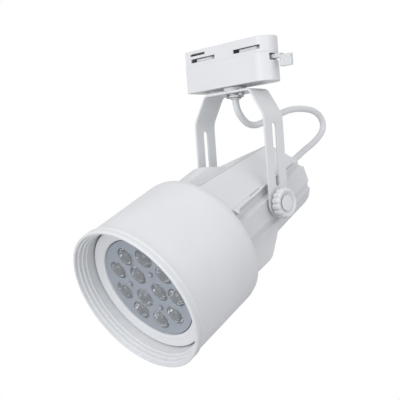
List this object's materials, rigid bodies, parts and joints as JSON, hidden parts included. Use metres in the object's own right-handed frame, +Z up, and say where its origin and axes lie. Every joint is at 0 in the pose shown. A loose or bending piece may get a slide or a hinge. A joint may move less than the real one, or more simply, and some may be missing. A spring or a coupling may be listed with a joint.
{
  "type": "track spotlight",
  "caption": "White track spotlight: adapter with lock lever, swivelling slotted yoke, tilting drum head with a stepped front ring and clear lenses, and a looped power cable.",
  "frame": {"origin": "centre of the adapter's top face, which lies in the track", "axes": "+Z up out of the adapter's top face, +Y along the adapter towards the lock lever and along the tilt axis, +X the side that the beam leaves on"},
  "size_m": [0.2541, 0.1131, 0.2307],
  "materials": {
    "white_plastic": "satin",
    "white_paint": "satin",
    "cast_paint": "satin",
    "clear_plastic": "translucent",
    "lens_plastic": "clear",
    "grey_plastic": "satin",
    "contact_metal": "bright",
    "board": "matt",
    "dark_plastic": "matt",
    "nylon": "matt",
    "steel": "zinc plated"
  },
  "bodies": {
    "adapter": {"adapter_body": "white_plastic", "adapter_cover": "white_plastic", "terminal_block": "white_plastic", "nipple": "steel", "nipple_nut": "steel", "hub_spacer": "white_plastic", "hub_washer": "steel", "hub_nut": "steel", "cable_bushing": "nylon"},
    "lever": {"lock_lever": "clear_plastic"},
    "cam_left": {"rotor_left": "white_plastic", "contact_left": "contact_metal"},
    "cam_right": {"rotor_right": "white_plastic", "contact_right": "contact_metal"},
    "yoke": {"yoke": "white_paint", "stop_screw_a": "steel", "stop_screw_b": "steel"},
    "head": {"rear_housing": "cast_paint", "cover_upper": "white_paint", "cover_lower": "white_paint", "rear_cap": "cast_paint", "cap_screw_1": "steel", "cap_screw_2": "steel", "cap_screw_3": "steel", "cable_gland": "nylon", "gland_nut": "nylon", "driver_module": "dark_plastic", "lamp_carrier": "cast_paint", "carrier_tube": "cast_paint", "shade": "white_paint", "front_ring": "white_plastic", "bezel": "white_plastic", "led_board": "board", "pivot_screw_near": "steel", "pivot_screw_far": "steel", "pivot_washer_near": "nylon", "pivot_washer_far": "nylon", "power_cable": "white_plastic", "lens_01": "lens_plastic", "lens_02": "lens_plastic", "lens_03": "lens_plastic", "lens_04": "lens_plastic", "lens_05": "lens_plastic", "lens_06": "lens_plastic", "lens_07": "lens_plastic", "lens_08": "lens_plastic", "lens_09": "lens_plastic", "lens_10": "lens_plastic", "lens_11": "lens_plastic", "lens_12": "lens_plastic", "lens_plate": "grey_plastic", "lens_screw_1": "nylon", "lens_screw_2": "nylon", "lens_screw_3": "nylon"},
    "knob_near": {"knob_near": "white_plastic", "knob_cap_near": "white_plastic"},
    "knob_far": {"knob_far": "white_plastic", "knob_cap_far": "white_plastic"}
  },
  "joints": [
    {"name": "yoke_swivel", "type": "hinge", "parent": "adapter", "child": "yoke", "pos_m": [0, 0, -0.0373], "axis": [0, 0, 1], "range_deg": [-175, 175]},
    {"name": "head_tilt", "type": "hinge", "parent": "yoke", "child": "head", "pos_m": [0, 0, -0.124], "axis": [0, 1, 0], "range_deg": [-46, 64], "deforming": ["power_cable"]},
    {"name": "knob_near_turn", "type": "hinge", "parent": "yoke", "child": "knob_near", "pos_m": [0, 0.0409, -0.124], "axis": [0, 1, 0], "continuous": true},
    {"name": "knob_far_turn", "type": "hinge", "parent": "yoke", "child": "knob_far", "pos_m": [0, -0.0409, -0.124], "axis": [0, -1, 0], "continuous": true},
    {"name": "lever_swing", "type": "hinge", "parent": "adapter", "child": "lever", "pos_m": [0, 0.03075, -0.0157], "axis": [0, 0, 1], "range_deg": [0, 45]},
    {"name": "cam_left_turn", "type": "hinge", "parent": "adapter", "child": "cam_left", "pos_m": [0, -0.022, -0.0081], "axis": [0, 0, 1], "range_deg": [0, 90]},
    {"name": "cam_right_turn", "type": "hinge", "parent": "adapter", "child": "cam_right", "pos_m": [0, 0.0234, -0.0081], "axis": [0, 0, 1], "range_deg": [0, 90]}
  ],
  "couplings": [
    {"joint": "cam_left_turn", "follows": "lever_swing", "ratio": 2},
    {"joint": "cam_right_turn", "follows": "lever_swing", "ratio": 2}
  ]
}
